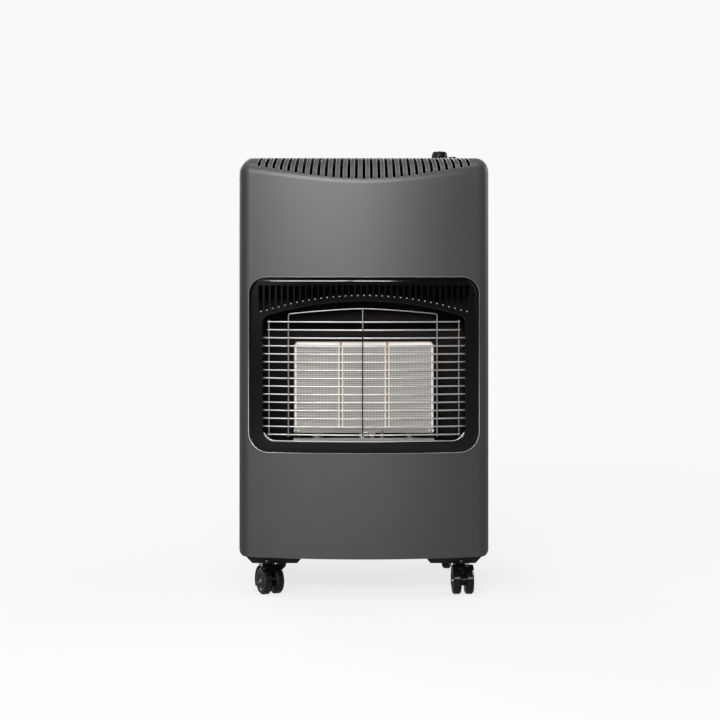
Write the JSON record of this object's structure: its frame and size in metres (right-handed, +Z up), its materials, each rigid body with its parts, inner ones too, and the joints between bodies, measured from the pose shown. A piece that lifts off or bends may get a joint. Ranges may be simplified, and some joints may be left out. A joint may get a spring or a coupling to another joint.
{
  "type": "portable gas cabinet heater",
  "caption": "Portable gas cabinet heater: a bowed steel cabinet on twin-wheel castors, with a radiant ceramic burner behind a wire guard, an arched bezel and warm-air slots.",
  "frame": {"origin": "on the floor, under the middle of the object", "axes": "+X to the object's right as seen from the front, +Y from front to back, +Z up; the front faces -Y"},
  "size_m": [0.424, 0.4, 0.7558],
  "materials": {
    "cabinet_paint": "satin charcoal paint",
    "inner_steel": "plain plated sheet",
    "bezel_black": "gloss black",
    "firebox_enamel": "heatproof black",
    "guard_wire": "bright plated wire",
    "burner_steel": "bright plated sheet",
    "gasket_fibre": "pressed ceramic fibre",
    "plaque_ceramic": "bare ceramic, finely holed",
    "copper": "bright copper",
    "electrode_ceramic": "glazed ceramic",
    "pipe": "drawn tube",
    "valve_alloy": "die-cast",
    "brass": "turned",
    "knob_black": "fine matt",
    "button_black": "satin",
    "dial_black": "satin",
    "moulding_black": "fine matt",
    "castor_black": "gloss black",
    "pin_steel": "plated",
    "bolt_zinc": "bright zinc"
  },
  "bodies": {
    "cabinet": {"base_pan": "inner_steel", "burner_frame": "burner_steel", "burner_plenum": "inner_steel", "castor_bolts": "bolt_zinc", "castor_mounts": "moulding_black", "ceramic_plaque_centre": "plaque_ceramic", "ceramic_plaque_left": "plaque_ceramic", "ceramic_plaque_right": "plaque_ceramic", "dial_plate": "dial_black", "firebox": "firebox_enamel", "flame_baffle": "firebox_enamel", "front_panel": "cabinet_paint", "gas_inlet": "brass", "gas_valve": "valve_alloy", "guard": "guard_wire", "hand_grip_left": "moulding_black", "hand_grip_right": "moulding_black", "heat_shield": "inner_steel", "ignition_electrode": "electrode_ceramic", "injector_manifold": "inner_steel", "lower_reflector": "burner_steel", "piezo_igniter": "knob_black", "pilot_burner": "burner_steel", "pilot_tube": "pipe", "plaque_gasket": "gasket_fibre", "side_panel_left": "cabinet_paint", "side_panel_right": "cabinet_paint", "supply_tube": "pipe", "thermocouple": "copper", "top_panel": "cabinet_paint", "valve_bracket": "burner_steel", "window_bezel": "bezel_black"},
    "rear_cover": {"rear_cover": "cabinet_paint"},
    "valve_plunger": {"valve_plunger": "valve_alloy"},
    "control_knob": {"control_knob": "knob_black", "valve_stem": "burner_steel"},
    "piezo_button": {"piezo_button": "button_black"},
    "castor_front_left": {"castor_hood_front_left": "castor_black", "castor_pins_front_left": "pin_steel"},
    "wheel_front_left_left": {"wheel_front_left_left": "castor_black"},
    "wheel_front_left_right": {"wheel_front_left_right": "castor_black"},
    "castor_front_right": {"castor_hood_front_right": "castor_black", "castor_pins_front_right": "pin_steel"},
    "wheel_front_right_left": {"wheel_front_right_left": "castor_black"},
    "wheel_front_right_right": {"wheel_front_right_right": "castor_black"},
    "castor_rear_left": {"castor_hood_rear_left": "castor_black", "castor_pins_rear_left": "pin_steel"},
    "wheel_rear_left_left": {"wheel_rear_left_left": "castor_black"},
    "wheel_rear_left_right": {"wheel_rear_left_right": "castor_black"},
    "castor_rear_right": {"castor_hood_rear_right": "castor_black", "castor_pins_rear_right": "pin_steel"},
    "wheel_rear_right_left": {"wheel_rear_right_left": "castor_black"},
    "wheel_rear_right_right": {"wheel_rear_right_right": "castor_black"}
  },
  "joints": [
    {"name": "rear_cover_pull", "type": "slide", "parent": "cabinet", "child": "rear_cover", "axis": [0, 1, 0], "range_m": [0, 0.3]},
    {"name": "valve_push", "type": "slide", "parent": "cabinet", "child": "valve_plunger", "axis": [0, 0, -1], "range_m": [0, 0.004], "stiffness_N_per_m": 1500, "springref_m": -0.002},
    {"name": "knob_turn", "type": "hinge", "parent": "valve_plunger", "child": "control_knob", "pos_m": [0.134, 0.01, 0.75], "axis": [0, 0, 1], "range_deg": [0, 210]},
    {"name": "piezo_push", "type": "slide", "parent": "cabinet", "child": "piezo_button", "axis": [0, 0, -1], "range_m": [0, 0.0045], "stiffness_N_per_m": 1500, "springref_m": -0.002},
    {"name": "castor_front_left_swivel", "type": "hinge", "parent": "cabinet", "child": "castor_front_left", "pos_m": [-0.1655, -0.128, 0.052], "axis": [0, 0, 1], "continuous": true},
    {"name": "wheel_front_left_left_roll", "type": "hinge", "parent": "castor_front_left", "child": "wheel_front_left_left", "pos_m": [-0.15832, -0.14341, 0.023], "axis": [0.9063, 0.4226, 0], "continuous": true},
    {"name": "wheel_front_left_right_roll", "type": "hinge", "parent": "castor_front_left", "child": "wheel_front_left_right", "pos_m": [-0.15832, -0.14341, 0.023], "axis": [0.9063, 0.4226, 0], "continuous": true},
    {"name": "castor_front_right_swivel", "type": "hinge", "parent": "cabinet", "child": "castor_front_right", "pos_m": [0.1655, -0.128, 0.052], "axis": [0, 0, 1], "continuous": true},
    {"name": "wheel_front_right_left_roll", "type": "hinge", "parent": "castor_front_right", "child": "wheel_front_right_left", "pos_m": [0.16639, -0.14498, 0.023], "axis": [0.9986, 0.0523, 0], "continuous": true},
    {"name": "wheel_front_right_right_roll", "type": "hinge", "parent": "castor_front_right", "child": "wheel_front_right_right", "pos_m": [0.16639, -0.14498, 0.023], "axis": [0.9986, 0.0523, 0], "continuous": true},
    {"name": "castor_rear_left_swivel", "type": "hinge", "parent": "cabinet", "child": "castor_rear_left", "pos_m": [-0.1655, 0.128, 0.052], "axis": [0, 0, 1], "continuous": true},
    {"name": "wheel_rear_left_left_roll", "type": "hinge", "parent": "castor_rear_left", "child": "wheel_rear_left_left", "pos_m": [-0.16197, 0.11137, 0.023], "axis": [0.9781, 0.2079, 0], "continuous": true},
    {"name": "wheel_rear_left_right_roll", "type": "hinge", "parent": "castor_rear_left", "child": "wheel_rear_left_right", "pos_m": [-0.16197, 0.11137, 0.023], "axis": [0.9781, 0.2079, 0], "continuous": true},
    {"name": "castor_rear_right_swivel", "type": "hinge", "parent": "cabinet", "child": "castor_rear_right", "pos_m": [0.1655, 0.128, 0.052], "axis": [0, 0, 1], "continuous": true},
    {"name": "wheel_rear_right_left_roll", "type": "hinge", "parent": "castor_rear_right", "child": "wheel_rear_right_left", "pos_m": [0.16197, 0.11137, 0.023], "axis": [0.9781, -0.2079, 0], "continuous": true},
    {"name": "wheel_rear_right_right_roll", "type": "hinge", "parent": "castor_rear_right", "child": "wheel_rear_right_right", "pos_m": [0.16197, 0.11137, 0.023], "axis": [0.9781, -0.2079, 0], "continuous": true}
  ]
}
